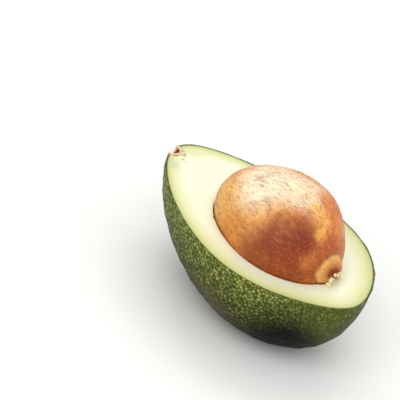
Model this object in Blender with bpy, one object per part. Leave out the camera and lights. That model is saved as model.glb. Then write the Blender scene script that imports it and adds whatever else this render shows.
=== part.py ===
"""Half of a ripe pebbly-skinned avocado, cut lengthways and laid on its back, with the seed left in.

The cut face looks up (+Z), the stem end is at -X and the blossom end at +X. The origin is on the
surface that the fruit rests on, under the middle of the fruit. Units are metres.

Every round shape is a profile turned about a line along X. A profile is a list of (x, radius) pairs
that runs from the stem end to the blossom end.
"""

import math

import bmesh
import bpy
from mathutils import Matrix, Vector

# Fruit: skin and flesh grew as one piece.
FRUIT_LENGTH = 0.100
FRUIT_WIDTH = 0.069
STEM_END_BLUNTNESS = 0.42  # 0.5 is a round end, and less is a flatter one
FRUIT_FULLNESS = (0.36, 0.57, 0.57, 0.70, 0.82, 0.55)  # from the stem end to the blossom end
BELLY_FULLNESS = 0.60  # how much deeper than wide the blossom end is, as a share of its radius
BELLY_ONSET = 7  # the higher, the nearer to the blossom end the belly deepens
REST_SPOT_DEPTH = 0.0012  # how far the belly is flattened where the fruit lies

# Seed: an egg that lies a little off the fruit's axis and stands proud of the cut face.
SEED_LENGTH = 0.0540  # to the rim of the scar at its blossom end
SEED_WIDTH = 0.0420
SEED_HEIGHT = 0.0446
SEED_FULLNESS = (0.41, 0.45, 0.53, 0.50)  # from the stem end to the blossom end
SEED_FROM_STEM_END = 0.0564  # along the fruit, to the middle of the seed
SEED_SIDESHIFT = -0.0025
SEED_RISE = 0.0050  # from the cut face up to the middle of the seed
SEED_TURN = math.radians(3.0)  # about Z
SEED_PITCH = math.radians(2.0)  # blossom end up

# Basal scar: a low round button that closes the seed's blossom end.
SCAR_RADIUS = 0.0065
SCAR_HEIGHT = 0.0021
NIPPLE_RADIUS = 0.0032
NIPPLE_HEIGHT = 0.0014

# Stem pit beside the fruit's tip, and the corky remnant of the stem that lines it.
PIT_RADIUS = 0.0038
PIT_DEPTH = 0.0034
PIT_SIDESHIFT = -0.0050
PIT_SUNK = 0.0007  # how far inside the round surface the middle of its mouth lies
PIT_TURN = math.radians(20.0)  # about Z, so that it opens square to the surface
REMNANT_WALL = 0.0010
REMNANT_LIP = 0.0004  # the remnant stands this far out of the pit

SEAT_GAP = 0.0003  # between two pieces that touch
FRUIT_STATIONS = 56
FRUIT_SEGMENTS = 44
SEED_STATIONS = 30
SEED_SEGMENTS = 56
PIT_STATIONS = 8
PIT_SEGMENTS = 24

STEM_END_X = -FRUIT_LENGTH / 2


def material(name, rgb, roughness):
    """A plain Principled material."""
    made = bpy.data.materials.new(name)
    made.use_nodes = True
    shader = made.node_tree.nodes["Principled BSDF"]
    shader.inputs["Base Color"].default_value = (*rgb, 1.0)
    shader.inputs["Roughness"].default_value = roughness
    shader.inputs["Metallic"].default_value = 0.0
    return made


def bernstein(weights, share):
    """The smooth curve that blends the weights in order as share goes from 0 to 1."""
    order = len(weights) - 1
    return sum(
        weight * math.comb(order, i) * share**i * (1 - share) ** (order - i)
        for i, weight in enumerate(weights)
    )


def closer_at_the_ends(count):
    """Shares of a length from 0 to 1, closer together towards both ends."""
    return [(1 - math.cos(math.pi * i / count)) / 2 for i in range(count + 1)]


def fruit_profile():
    """The whole fruit's outline."""
    shares = closer_at_the_ends(FRUIT_STATIONS)
    radii = [
        s**STEM_END_BLUNTNESS * math.sqrt(1 - s) * bernstein(FRUIT_FULLNESS, s)
        for s in shares
    ]
    scale = FRUIT_WIDTH / 2 / max(radii)
    return [
        (STEM_END_X + FRUIT_LENGTH * s, scale * radius)
        for s, radius in zip(shares, radii)
    ]


def belly_depth(x, radius):
    """How far below the axis the belly lies where the fruit has this radius."""
    share = max((x - STEM_END_X) / FRUIT_LENGTH, 0.0)
    return radius * (1 + BELLY_FULLNESS * share**BELLY_ONSET)


CUT_Z = max(belly_depth(*station) for station in fruit_profile()) - REST_SPOT_DEPTH  # the cut face


def seed_profile(grow):
    """The seed's outline about its own middle, larger all round by grow, with the scar's button."""
    shares = closer_at_the_ends(SEED_STATIONS)
    radii = [math.sqrt(s * (1 - s)) * bernstein(SEED_FULLNESS, s) for s in shares]
    scale = SEED_WIDTH / 2 / max(radii)
    egg = [(s, scale * radius) for s, radius in zip(shares, radii)]
    widest = max(egg, key=lambda station: station[1])[0]
    egg = [(s, radius) for s, radius in egg if s < widest or radius > SCAR_RADIUS * 1.03]
    egg_length = SEED_LENGTH / egg[-1][0]
    end = SEED_LENGTH / 2
    outline = [(egg_length * s - end, radius) for s, radius in egg]
    outline += [
        (end + SCAR_HEIGHT * 0.25, SCAR_RADIUS * 0.96),
        (end + SCAR_HEIGHT, NIPPLE_RADIUS),
        (end + SCAR_HEIGHT + NIPPLE_HEIGHT * 0.7, NIPPLE_RADIUS * 0.6),
        (end + SCAR_HEIGHT + NIPPLE_HEIGHT, 0.0),
    ]
    longer = 1 + 2 * grow / SEED_LENGTH
    wider = 1 + 2 * grow / SEED_WIDTH
    return [(x * longer, radius * wider) for x, radius in outline]


def pit_profile(inset):
    """A round-bottomed pit that opens at x = 0, from its rim to its bottom, smaller all round by inset."""
    bowl = []
    for i in range(PIT_STATIONS + 1):
        angle = math.pi / 2 * i / PIT_STATIONS
        x = (PIT_DEPTH - inset) * math.sin(angle)
        bowl.append((x, (PIT_RADIUS - inset) * math.cos(angle)))
    return bowl


def stem_side_x(wanted):
    """The place near the stem end where the fruit's outline has this radius."""
    stations = fruit_profile()
    for (x, radius), (next_x, next_radius) in zip(stations, stations[1:]):
        if next_radius >= wanted:
            return x + (next_x - x) * (wanted - radius) / (next_radius - radius)
    raise ValueError(f"the fruit is thinner than {wanted} everywhere")


def turned(name, profile, height, segments, angle=2 * math.pi):
    """A closed solid: the profile turned about a line along X at this height.

    A half turn starts at -Y and goes through -Z to +Y, so its flat face looks up.
    """
    mesh = bmesh.new()
    chain = [mesh.verts.new((x, -radius, height)) for x, radius in profile]
    edges = [mesh.edges.new(pair) for pair in zip(chain, chain[1:])]
    bmesh.ops.spin(
        mesh,
        geom=[*chain, *edges],
        cent=(0, 0, height),
        axis=(1, 0, 0),
        angle=angle,
        steps=segments,
        use_merge=angle > 6,
    )
    bmesh.ops.remove_doubles(mesh, verts=mesh.verts, dist=1e-6)
    rims = [edge for edge in mesh.edges if len(edge.link_faces) < 2]
    if rims:
        bmesh.ops.triangle_fill(mesh, edges=rims, use_beauty=True)
    bmesh.ops.recalc_face_normals(mesh, faces=mesh.faces)
    data = bpy.data.meshes.new(name)
    mesh.to_mesh(data)
    mesh.free()
    made = bpy.data.objects.new(name, data)
    bpy.context.scene.collection.objects.link(made)
    return made


def deepen_belly(made):
    """Lets the half hang deeper below the cut face towards its blossom end."""
    for vertex in made.data.vertices:
        x, _, z = vertex.co
        vertex.co.z = CUT_Z - belly_depth(x, CUT_Z - z)


def placed_seed(name, grow):
    """The seed's shape, turned, pitched and moved to where it lies in the fruit."""
    made = turned(name, seed_profile(grow), 0.0, SEED_SEGMENTS)
    middle = Vector((STEM_END_X + SEED_FROM_STEM_END, SEED_SIDESHIFT, CUT_Z + SEED_RISE))
    made.data.transform(
        Matrix.Translation(middle)
        @ Matrix.Rotation(-SEED_PITCH, 4, "Y")
        @ Matrix.Rotation(SEED_TURN, 4, "Z")
        @ Matrix.Diagonal((1, 1, SEED_HEIGHT / SEED_WIDTH, 1))
    )
    return made


def put_in_pit(made):
    """Moves a shape that was made round a pit opening at the origin to the pit's real place."""
    mouth = Vector((stem_side_x(abs(PIT_SIDESHIFT)) + PIT_SUNK, PIT_SIDESHIFT, CUT_Z))
    made.data.transform(Matrix.Translation(mouth) @ Matrix.Rotation(PIT_TURN, 4, "Z"))
    return made


def finish(piece, finish_material, sharp_degrees):
    """Shades a round piece smooth, apart from its real edges."""
    piece.data.shade_smooth()
    piece.data.set_sharp_from_angle(angle=math.radians(sharp_degrees))
    piece.data.materials.append(finish_material)
    return piece


def cut_with(piece, cutter):
    """Takes the cutter's shape out of the piece, and hides the cutter."""
    boolean = piece.modifiers.new(f"without_{cutter.name}", "BOOLEAN")
    boolean.operation = "DIFFERENCE"
    boolean.object = cutter
    cutter.hide_render = True
    cutter.display_type = "WIRE"


def flatten_below(piece, height):
    """Cuts the piece off level at this height and closes the cut with a flat face."""
    mesh = bmesh.new()
    mesh.from_mesh(piece.data)
    cut = bmesh.ops.bisect_plane(
        mesh,
        geom=[*mesh.verts, *mesh.edges, *mesh.faces],
        plane_co=(0, 0, height),
        plane_no=(0, 0, -1),
        clear_outer=True,
    )
    rim = [item for item in cut["geom_cut"] if isinstance(item, bmesh.types.BMEdge)]
    cap = bmesh.ops.triangle_fill(mesh, edges=rim, use_beauty=True)
    for item in cap["geom"]:
        if isinstance(item, bmesh.types.BMFace):
            item.smooth = False
    bmesh.ops.recalc_face_normals(mesh, faces=mesh.faces)
    mesh.to_mesh(piece.data)
    mesh.free()


def make_fruit_half():
    """Skin and flesh in one solid, hollowed for the seed and at the stem."""
    fruit = turned("fruit_half", fruit_profile(), CUT_Z, FRUIT_SEGMENTS, math.pi)
    deepen_belly(fruit)
    finish(fruit, material("skin", (0.07, 0.10, 0.03), 0.45), 40)
    flatten_below(fruit, 0.0)
    cut_with(fruit, placed_seed("seed_cavity", SEAT_GAP))
    pit = [(-PIT_DEPTH, 0.0), (-PIT_DEPTH, PIT_RADIUS), *pit_profile(0.0)]
    cut_with(fruit, put_in_pit(turned("stem_pit", pit, 0.0, PIT_SEGMENTS)))


def make_seed():
    """The whole seed, brown and egg-shaped, with the scar's button on its blossom end."""
    finish(placed_seed("seed", 0.0), material("seed_coat", (0.42, 0.16, 0.05), 0.35), 35)


def make_stem_remnant():
    """The corky half-bowl that is left of the stem in its pit."""
    outer = pit_profile(SEAT_GAP)
    inner = pit_profile(SEAT_GAP + REMNANT_WALL)
    section = [*reversed(outer), (-REMNANT_LIP, outer[0][1]), (-REMNANT_LIP, inner[0][1]), *inner]
    remnant = put_in_pit(turned("stem_remnant", section, 0.0, PIT_SEGMENTS // 2, math.pi))
    finish(remnant, material("cork", (0.30, 0.17, 0.09), 0.8), 40)


def main():
    """Clears the scene and models the three pieces."""
    for old in list(bpy.data.objects):
        bpy.data.objects.remove(old)
    make_fruit_half()
    make_seed()
    make_stem_remnant()


main()
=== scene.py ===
"""The looks of half a ripe avocado that lies on its back with its seed in place.

The frame gives the sizes and the places. On top of it this script models the pebbled peel, the cut flesh,
the seed with its scar and the corky remnant of the stem, and dresses each in a material of its own. +X runs
from the stem end to the blossom end, +Z out of the cut face. Lengths are metres.
"""

from __future__ import annotations

import logging
import math
from collections.abc import Callable
from dataclasses import dataclass, field
from enum import Enum

import bpy
import numpy as np
from mathutils import Euler, Matrix, Vector, kdtree, noise


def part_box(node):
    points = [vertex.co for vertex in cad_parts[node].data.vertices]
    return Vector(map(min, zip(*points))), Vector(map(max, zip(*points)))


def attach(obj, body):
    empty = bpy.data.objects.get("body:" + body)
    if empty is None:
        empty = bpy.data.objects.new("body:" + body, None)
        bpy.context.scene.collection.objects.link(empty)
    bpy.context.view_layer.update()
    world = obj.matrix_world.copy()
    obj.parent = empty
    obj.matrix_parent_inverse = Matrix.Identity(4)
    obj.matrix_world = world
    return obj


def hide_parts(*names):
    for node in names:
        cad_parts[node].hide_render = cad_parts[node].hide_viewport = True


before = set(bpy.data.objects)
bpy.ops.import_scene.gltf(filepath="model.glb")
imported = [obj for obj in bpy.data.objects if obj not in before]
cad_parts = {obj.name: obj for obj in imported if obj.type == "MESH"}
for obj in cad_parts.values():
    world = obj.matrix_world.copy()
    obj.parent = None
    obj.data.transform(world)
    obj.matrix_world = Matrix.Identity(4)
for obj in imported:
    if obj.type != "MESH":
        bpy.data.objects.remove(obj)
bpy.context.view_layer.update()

MM = 0.001
FAR = 20 * MM  # a distance from the peel or the seed at which neither colours the flesh
LOG = logging.getLogger("avocado")


class Slot(Enum):
    """The record's material slots."""

    SKIN = "skin"
    FLESH = "flesh"
    SEED_COAT = "seed_coat"
    CORK = "cork"


# ---------------------------------------------------------------------------------------------- helpers


def deselect() -> None:
    """Leaves edit mode and selects nothing."""
    if bpy.context.object and bpy.context.object.mode != "OBJECT":
        bpy.ops.object.mode_set(mode="OBJECT")
    bpy.ops.object.select_all(action="DESELECT")


def activate(piece: bpy.types.Object) -> None:
    """Selects this piece alone and makes it the active one.

    Args:
        piece: the object that the next operators act on.
    """
    deselect()
    piece.select_set(True)
    bpy.context.view_layer.objects.active = piece


def points_of(piece: bpy.types.Object) -> np.ndarray:
    """Reads a mesh's points.

    Args:
        piece: a mesh object at the origin.

    Returns:
        An array of one row of x, y, z for each vertex.
    """
    flat = np.empty(len(piece.data.vertices) * 3, dtype=np.float32)
    piece.data.vertices.foreach_get("co", flat)
    return flat.reshape(-1, 3).astype(float)


def move_points(piece: bpy.types.Object, points: np.ndarray) -> None:
    """Writes a mesh's points back.

    Args:
        piece: a mesh object at the origin.
        points: one row of x, y, z for each vertex.
    """
    piece.data.vertices.foreach_set("co", points.astype(np.float32).ravel())
    piece.data.update()


def store(piece: bpy.types.Object, name: str, values: np.ndarray) -> None:
    """Keeps one number for each vertex, for the material to read.

    Args:
        piece: a mesh object.
        name: the attribute's name.
        values: one number for each vertex.
    """
    attribute = piece.data.attributes.new(name, "FLOAT", "POINT")
    attribute.data.foreach_set("value", values.astype(np.float32))


def smooth_step(values: np.ndarray, start: float, end: float) -> np.ndarray:
    """Rises softly from 0 at start to 1 at end.

    Args:
        values: any numbers.
        start: where the result is 0.
        end: where the result is 1. It may be less than start.

    Returns:
        One number from 0 to 1 for each value.
    """
    share = np.clip((values - start) / (end - start), 0.0, 1.0)
    return share * share * (3.0 - 2.0 * share)


def lumps(points: np.ndarray, size: float, offset: float = 0.0) -> np.ndarray:
    """Smooth noise over the points.

    Args:
        points: one row of x, y, z for each point.
        size: the distance from one lump to the next.
        offset: shifts the pattern, so that two patterns differ.

    Returns:
        One number from about -1 to 1 for each point.
    """
    shift = Vector((offset, offset * 0.7, -offset))
    return np.array([noise.noise(Vector(point) / size + shift) for point in points])


@dataclass(frozen=True)
class Relief:
    """Low soft lumps all over a surface.

    Height is how far they rise or sink at most, size is the distance from one lump to the next, and offset
    shifts the pattern, so that two patterns differ.
    """

    height: float
    size: float
    offset: float = 0.0

    def over(self, points: np.ndarray) -> np.ndarray:
        """Gives how far each point is raised."""
        return self.height * lumps(points, self.size, self.offset)


def quad_ball(name: str, first: int, second: int, half: bool = False) -> bpy.types.Object:
    """A unit ball of even quads with no poles, made from a cube.

    Args:
        name: the object's name.
        first: how many quads lie along each cube edge at first.
        second: into how many each of those is split.
        half: keeps only the lower half, with its rim at height 0.

    Returns:
        The new mesh object.
    """
    deselect()
    bpy.ops.mesh.primitive_cube_add(size=2.0)
    ball = bpy.context.object
    ball.name = name
    bpy.ops.object.mode_set(mode="EDIT")
    bpy.ops.mesh.select_all(action="SELECT")
    bpy.ops.mesh.subdivide(number_cuts=first - 1)
    bpy.ops.object.mode_set(mode="OBJECT")
    if half:
        select_faces(ball, lambda middle: middle.z > 1e-4)
        bpy.ops.object.mode_set(mode="EDIT")
        bpy.ops.mesh.delete(type="FACE")
        bpy.ops.object.mode_set(mode="OBJECT")
    if second > 1:
        bpy.ops.object.mode_set(mode="EDIT")
        bpy.ops.mesh.select_all(action="SELECT")
        bpy.ops.mesh.subdivide(number_cuts=second - 1)
        bpy.ops.object.mode_set(mode="OBJECT")
    points = np.tan(points_of(ball) * math.pi / 4)  # evens out the quads that the ball's shape gives
    points /= np.linalg.norm(points, axis=1)[:, None]
    move_points(ball, points)
    return ball


def select_faces(piece: bpy.types.Object, wanted: Callable[[Vector], bool]) -> None:
    """Selects the faces whose middle passes a test, and nothing else.

    Args:
        piece: a mesh object in object mode.
        wanted: takes a face's middle and says whether it is selected.
    """
    mesh = piece.data
    for parts in (mesh.vertices, mesh.edges, mesh.polygons):
        parts.foreach_set("select", np.zeros(len(parts), dtype=bool))
    mesh.polygons.foreach_set("select", [bool(wanted(face.center)) for face in mesh.polygons])


def join(name: str, *parts: bpy.types.Object) -> bpy.types.Object:
    """Joins mesh objects into the first one.

    Args:
        name: the name of the joined object.
        parts: the objects, of which the first stays.

    Returns:
        The joined object.
    """
    deselect()
    for part in parts:
        part.select_set(True)
    bpy.context.view_layer.objects.active = parts[0]
    bpy.ops.object.join()
    parts[0].name = name
    return parts[0]


def close_rims(piece: bpy.types.Object, first: int) -> None:
    """Bridges the two open rims of a shell and turns its faces outwards.

    The inner bowl is lowered for this and lifted again, because the operator tells the rims' directions
    from the way that leads from one to the other.

    Args:
        piece: a mesh object with two open rims.
        first: how many vertices the outer bowl has, which come first.
    """
    clear = 20 * MM
    lowered = points_of(piece)
    lowered[first:, 2] -= clear
    move_points(piece, lowered)
    activate(piece)
    bpy.ops.object.mode_set(mode="EDIT")
    bpy.ops.mesh.select_mode(type="EDGE")
    bpy.ops.mesh.select_all(action="DESELECT")
    bpy.ops.mesh.select_non_manifold(extend=False)
    bpy.ops.mesh.bridge_edge_loops()
    bpy.ops.object.mode_set(mode="OBJECT")
    lowered[first:, 2] += clear
    move_points(piece, lowered)
    turn_outwards(piece)


def turn_outwards(piece: bpy.types.Object) -> None:
    """Makes all faces of a closed mesh point outwards.

    Args:
        piece: a closed mesh object.
    """
    activate(piece)
    bpy.ops.object.mode_set(mode="EDIT")
    bpy.ops.mesh.select_all(action="SELECT")
    bpy.ops.mesh.normals_make_consistent(inside=False)
    bpy.ops.object.mode_set(mode="OBJECT")


def merge_doubles(piece: bpy.types.Object, distance: float = 1e-6) -> None:
    """Merges vertices that lie on each other.

    Args:
        piece: a mesh object.
        distance: how near two vertices are to be merged.
    """
    activate(piece)
    bpy.ops.object.mode_set(mode="EDIT")
    bpy.ops.mesh.select_all(action="SELECT")
    bpy.ops.mesh.remove_doubles(threshold=distance)
    bpy.ops.object.mode_set(mode="OBJECT")


def shade(piece: bpy.types.Object, angle: float) -> None:
    """Shades a piece smooth, apart from edges sharper than the angle.

    Args:
        piece: a mesh object.
        angle: in degrees.
    """
    activate(piece)
    bpy.ops.object.shade_smooth_by_angle(angle=math.radians(angle))


def subtract(piece: bpy.types.Object, cutter: bpy.types.Object) -> None:
    """Takes the cutter's shape out of a piece and removes the cutter.

    Args:
        piece: a closed mesh object.
        cutter: a closed mesh object.
    """
    activate(piece)
    modifier = piece.modifiers.new("cut", "BOOLEAN")
    modifier.operation = "DIFFERENCE"
    modifier.object = cutter
    bpy.ops.object.modifier_apply(modifier="cut")
    bpy.data.objects.remove(cutter)


# ------------------------------------------------------------------------------------------- finishes


def srgb(code: str) -> tuple[float, float, float, float]:
    """Turns an sRGB hex value into a linear colour.

    Args:
        code: such as "#8A5A2B".

    Returns:
        Red, green, blue and alpha.
    """
    channels = [int(code[i : i + 2], 16) / 255 for i in (1, 3, 5)]
    linear = [c / 12.92 if c <= 0.04045 else ((c + 0.055) / 1.055) ** 2.4 for c in channels]
    return (*linear, 1.0)


def add(
    tree: bpy.types.NodeTree,
    kind: str,
    inputs: dict | None = None,
    stops: tuple = (),
    **settings: object,
) -> bpy.types.Node:
    """Adds a node with its settings and links.

    Args:
        tree: the node tree that it goes into.
        kind: the node's type, such as "ShaderNodeTexNoise".
        inputs: for each input, by name or number, its value or the output that feeds it.
        stops: for a colour ramp, each stop's place and hex value.
        settings: the node's own settings.

    Returns:
        The new node.
    """
    made = tree.nodes.new(kind)
    for name, value in settings.items():
        setattr(made, name, value)
    for name, value in (inputs or {}).items():
        socket = made.inputs[name]
        if isinstance(value, bpy.types.NodeSocket):
            tree.links.new(value, socket)
        else:
            socket.default_value = value
    for i, (place, code) in enumerate(stops):
        element = made.color_ramp.elements[i] if i < 2 else made.color_ramp.elements.new(place)
        element.position = place
        element.color = srgb(code)
    return made


def mix(
    tree: bpy.types.NodeTree,
    share: float | bpy.types.NodeSocket,
    first: str | bpy.types.NodeSocket,
    second: str | bpy.types.NodeSocket,
) -> bpy.types.NodeSocket:
    """Mixes two colours.

    Args:
        tree: the node tree.
        share: how much of the second, a number or an output.
        first: a hex value or an output.
        second: a hex value or an output.

    Returns:
        The mixed colour's output.
    """
    colours = [srgb(c) if isinstance(c, str) else c for c in (first, second)]
    made = add(tree, "ShaderNodeMix", {0: share, 6: colours[0], 7: colours[1]}, data_type="RGBA")
    return made.outputs[2]


@dataclass(frozen=True)
class Finish:
    """What every finish has in common: a name and the start of its material."""

    name: str

    def start(self) -> tuple[bpy.types.Material, bpy.types.NodeTree, bpy.types.Node]:
        """Makes a material that is still plain.

        Returns:
            The material, its node tree and its shader.
        """
        material = bpy.data.materials.new(self.name)
        material.use_nodes = True
        tree = material.node_tree
        return material, tree, tree.nodes["Principled BSDF"]


@dataclass(frozen=True)
class Patch:
    """A soft-edged patch of another colour.

    It is whole within core of its place and has faded out at reach, both in metres.
    """

    colour: str
    place: tuple[float, float, float]
    core: float
    reach: float
    strength: float = 1.0

    def paint(
        self,
        tree: bpy.types.NodeTree,
        place: bpy.types.NodeSocket,
        ground: str | bpy.types.NodeSocket,
    ) -> bpy.types.NodeSocket:
        """Paints the patch on the ground colour.

        Args:
            tree: the node tree.
            place: the coordinates that the patch's place is in.
            ground: the colour so far, as a hex value or an output.

        Returns:
            The new colour's output.
        """
        distance = add(tree, "ShaderNodeVectorMath", {0: place, 1: self.place}, operation="DISTANCE")
        share = add(
            tree,
            "ShaderNodeMapRange",
            {
                "Value": distance.outputs["Value"],
                "From Min": self.reach,
                "From Max": self.core,
                "To Max": self.strength,
            },
            interpolation_type="SMOOTHSTEP",
        )
        return mix(tree, share.outputs[0], ground, self.colour)


def stray(
    tree: bpy.types.NodeTree, place: bpy.types.NodeSocket, size: float, reach: float
) -> bpy.types.NodeSocket:
    """Pushes coordinates about with noise, so that what is painted with them has ragged edges.

    Args:
        tree: the node tree.
        place: the coordinates.
        size: the noise's lump size.
        reach: how far a point is pushed at most.

    Returns:
        The pushed coordinates.
    """
    push = add(
        tree,
        "ShaderNodeTexNoise",
        {"Vector": place, "Scale": 1 / size, "Detail": 4.0, "Roughness": 0.6},
    ).outputs["Color"]
    push = add(tree, "ShaderNodeVectorMath", {0: push, 1: (0.5, 0.5, 0.5)}, operation="SUBTRACT").outputs[0]
    push = add(tree, "ShaderNodeVectorMath", {0: push, "Scale": 2 * reach}, operation="SCALE").outputs[0]
    return add(tree, "ShaderNodeVectorMath", {0: place, 1: push}, operation="ADD").outputs[0]


@dataclass(frozen=True)
class PebbledPeel(Finish):
    """Ripe avocado peel: a tough green rind with a thin natural wax, which gives a dull broken gloss.

    Its corky pores show as yellow-green dots on the green, and it browns in places. It is painted darker
    towards the underside and lighter towards the cut edge, partly its own colour and partly painted shade and
    painted light.
    """

    name: str = "waxy_pebbled_peel"
    # From the underside to the rim these colours are partly the peel's own and partly painted shade low down
    # and painted light near the cut edge.
    shaded_underside: str = "#0B0B07"
    belly: str = "#272A10"
    side: str = "#3A4317"
    rim: str = "#47521D"
    pore_in_shade: str = "#4C5020"
    pore_in_light: str = "#A9AE5E"
    brown: str = "#332A17"
    patches: tuple[Patch, ...] = ()
    ragged_size: float = 6 * MM
    ragged_reach: float = 3 * MM
    # the heights over which the peel goes from the painted shade of the underside to the painted light by the
    # cut edge
    deepest_shade_height: float = 12 * MM
    brightest_light_height: float = 41 * MM
    band_wander: float = 14 * MM  # how far the blush lifts the bands of colour
    blush_size: float = 14 * MM
    fleck_size: float = 1.5 * MM
    speckle_size: float = 0.5 * MM
    speckle_depth: float = 0.1 * MM

    def build(self) -> bpy.types.Material:
        """Makes the material.

        Returns:
            The material, ready to be given to a piece.
        """
        material, tree, shader = self.start()
        place = add(tree, "ShaderNodeTexCoord").outputs["Object"]
        axes = add(tree, "ShaderNodeSeparateXYZ", {0: place})
        blush = add(
            tree,
            "ShaderNodeTexNoise",
            {"Vector": place, "Scale": 1 / self.blush_size, "Detail": 4.0, "Roughness": 0.6},
        ).outputs["Fac"]
        speckle = add(
            tree,
            "ShaderNodeTexNoise",
            {"Vector": place, "Scale": 1 / self.speckle_size, "Detail": 2.0},
        ).outputs["Fac"]
        height = add(
            tree,
            "ShaderNodeMath",
            {0: blush, 1: self.band_wander, 2: axes.outputs["Z"]},
            operation="MULTIPLY_ADD",
        )
        level = add(
            tree,
            "ShaderNodeMapRange",
            {
                "Value": height.outputs[0],
                "From Min": self.deepest_shade_height,
                "From Max": self.brightest_light_height,
            },
        ).outputs[0]
        # Painted light and shade: the peel darkens towards the underside, partly its own colour and partly
        # painted shade, and lightens towards the cut edge, where light falls.
        ground = add(
            tree,
            "ShaderNodeValToRGB",
            {0: level},
            stops=((0.0, self.shaded_underside), (1.0, self.rim), (0.35, self.belly), (0.7, self.side)),
        ).outputs[0]
        brownness = add(
            tree,
            "ShaderNodeMapRange",
            {"Value": blush, "From Min": 0.52, "From Max": 0.75, "To Max": 0.6},
        ).outputs[0]
        ground = mix(tree, brownness, ground, self.brown)
        # The pores follow the same painted shade: dim low down, bright near the cut edge.
        pore = add(
            tree,
            "ShaderNodeValToRGB",
            {0: level},
            stops=((0.15, self.pore_in_shade), (0.9, self.pore_in_light)),
        ).outputs[0]
        mask = add(tree, "ShaderNodeAttribute", attribute_name="pore").outputs["Fac"]
        fleck = add(
            tree,
            "ShaderNodeTexNoise",
            {"Vector": place, "Scale": 1 / self.fleck_size, "Detail": 2.0, "Distortion": 0.5},
        ).outputs["Fac"]
        fleck = add(
            tree,
            "ShaderNodeMapRange",
            {"Value": fleck, "From Min": 0.56, "From Max": 0.72, "To Max": 0.55},
        ).outputs[0]
        mask = add(tree, "ShaderNodeMath", {0: mask, 1: fleck}, operation="MAXIMUM").outputs[0]
        colour = mix(tree, mask, ground, pore)
        strayed = stray(tree, place, self.ragged_size, self.ragged_reach)
        for patch in self.patches:
            colour = patch.paint(tree, strayed, colour)
        tree.links.new(colour, shader.inputs["Base Color"])
        rough = add(
            tree,
            "ShaderNodeMapRange",
            {"Value": speckle, "From Min": 0.3, "From Max": 0.7, "To Min": 0.38, "To Max": 0.6},
        ).outputs[0]
        tree.links.new(rough, shader.inputs["Roughness"])
        shader.inputs["Specular IOR Level"].default_value = 0.07
        bump = add(
            tree,
            "ShaderNodeBump",
            {"Height": speckle, "Strength": 0.25, "Distance": self.speckle_depth},
        )
        tree.links.new(bump.outputs[0], shader.inputs["Normal"])
        return material


@dataclass(frozen=True)
class CutFlesh(Finish):
    """Ripe avocado flesh, cut with a knife: buttery and moist, so light sinks in and the gloss is soft.

    It is cream in the middle and turns through yellow to a thin green line under the peel.
    """

    name: str = "buttery_cut_flesh"
    line: str = "#4A5620"
    green: str = "#B4BA6C"
    lime: str = "#C8CC88"
    cream: str = "#DCDDA4"
    butter: str = "#F0F4D6"
    pale: str = "#EBEDD2"
    seed_stain: str = "#C08A50"
    patches: tuple[Patch, ...] = ()
    cloud_size: float = 16 * MM
    wander: float = 1.1 * MM  # how far the rind's colours wander in and out
    steady: float = 3 * MM  # the distance from the peel within which they wander less
    rind_depth: float = 8 * MM
    butter_x: float = 10 * MM
    pale_x: float = -40 * MM
    ragged_size: float = 1.0 * MM
    ragged_reach: float = 0.3 * MM
    stain_reach: float = 0.6 * MM
    light_reach: float = 2.5 * MM
    grain_size: float = 0.9 * MM
    grain_depth: float = 0.2 * MM

    def build(self) -> bpy.types.Material:
        """Makes the material.

        Returns:
            The material, ready to be given to a piece.
        """
        material, tree, shader = self.start()
        place = add(tree, "ShaderNodeTexCoord").outputs["Object"]
        axes = add(tree, "ShaderNodeSeparateXYZ", {0: place})
        cloud = add(
            tree,
            "ShaderNodeTexNoise",
            {"Vector": place, "Scale": 1 / self.cloud_size, "Detail": 3.0},
        ).outputs["Fac"]
        grain = add(
            tree,
            "ShaderNodeTexNoise",
            {"Vector": place, "Scale": 1 / self.grain_size, "Detail": 3.0},
        ).outputs["Fac"]
        from_peel = add(tree, "ShaderNodeAttribute", attribute_name="from_peel").outputs["Fac"]
        from_seed = add(tree, "ShaderNodeAttribute", attribute_name="from_seed").outputs["Fac"]
        wander = add(
            tree,
            "ShaderNodeMath",
            {0: cloud, 1: 2 * self.wander, 2: -self.wander},
            operation="MULTIPLY_ADD",
        ).outputs[0]
        near = add(tree, "ShaderNodeMapRange", {"Value": from_peel, "From Max": self.steady}).outputs[0]
        wander = add(tree, "ShaderNodeMath", {0: wander, 1: near}, operation="MULTIPLY").outputs[0]
        depth = add(tree, "ShaderNodeMath", {0: from_peel, 1: wander}, operation="ADD").outputs[0]
        share = add(tree, "ShaderNodeMapRange", {"Value": depth, "From Max": self.rind_depth}).outputs[0]
        along = add(
            tree,
            "ShaderNodeMapRange",
            {"Value": axes.outputs["X"], "From Min": self.butter_x, "From Max": self.pale_x},
        ).outputs[0]
        middle = mix(tree, along, self.butter, self.pale)
        rind = add(
            tree,
            "ShaderNodeValToRGB",
            {0: share},
            stops=((0.0, self.line), (0.35, self.cream), (0.02, self.green), (0.10, self.lime)),
        ).outputs[0]
        inward = add(
            tree,
            "ShaderNodeMapRange",
            {"Value": share, "From Min": 0.35, "From Max": 1.0},
        ).outputs[0]
        colour = mix(tree, inward, rind, middle)
        strayed = stray(tree, place, self.ragged_size, self.ragged_reach)
        for patch in self.patches:
            colour = patch.paint(tree, strayed, colour)
        stain = add(
            tree,
            "ShaderNodeMapRange",
            {"Value": from_seed, "From Min": self.stain_reach, "From Max": 0.0, "To Max": 0.8},
        ).outputs[0]
        colour = mix(tree, stain, colour, self.seed_stain)
        tree.links.new(colour, shader.inputs["Base Color"])
        shader.inputs["Roughness"].default_value = 0.45
        shader.inputs["Specular IOR Level"].default_value = 0.3
        shader.inputs["Subsurface Weight"].default_value = 0.3
        shader.inputs["Subsurface Radius"].default_value = (1.0, 0.95, 0.55)
        shader.inputs["Subsurface Scale"].default_value = self.light_reach
        bump = add(
            tree,
            "ShaderNodeBump",
            {"Height": grain, "Strength": 0.12, "Distance": self.grain_depth},
        )
        tree.links.new(bump.outputs[0], shader.inputs["Normal"])
        return material


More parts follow.
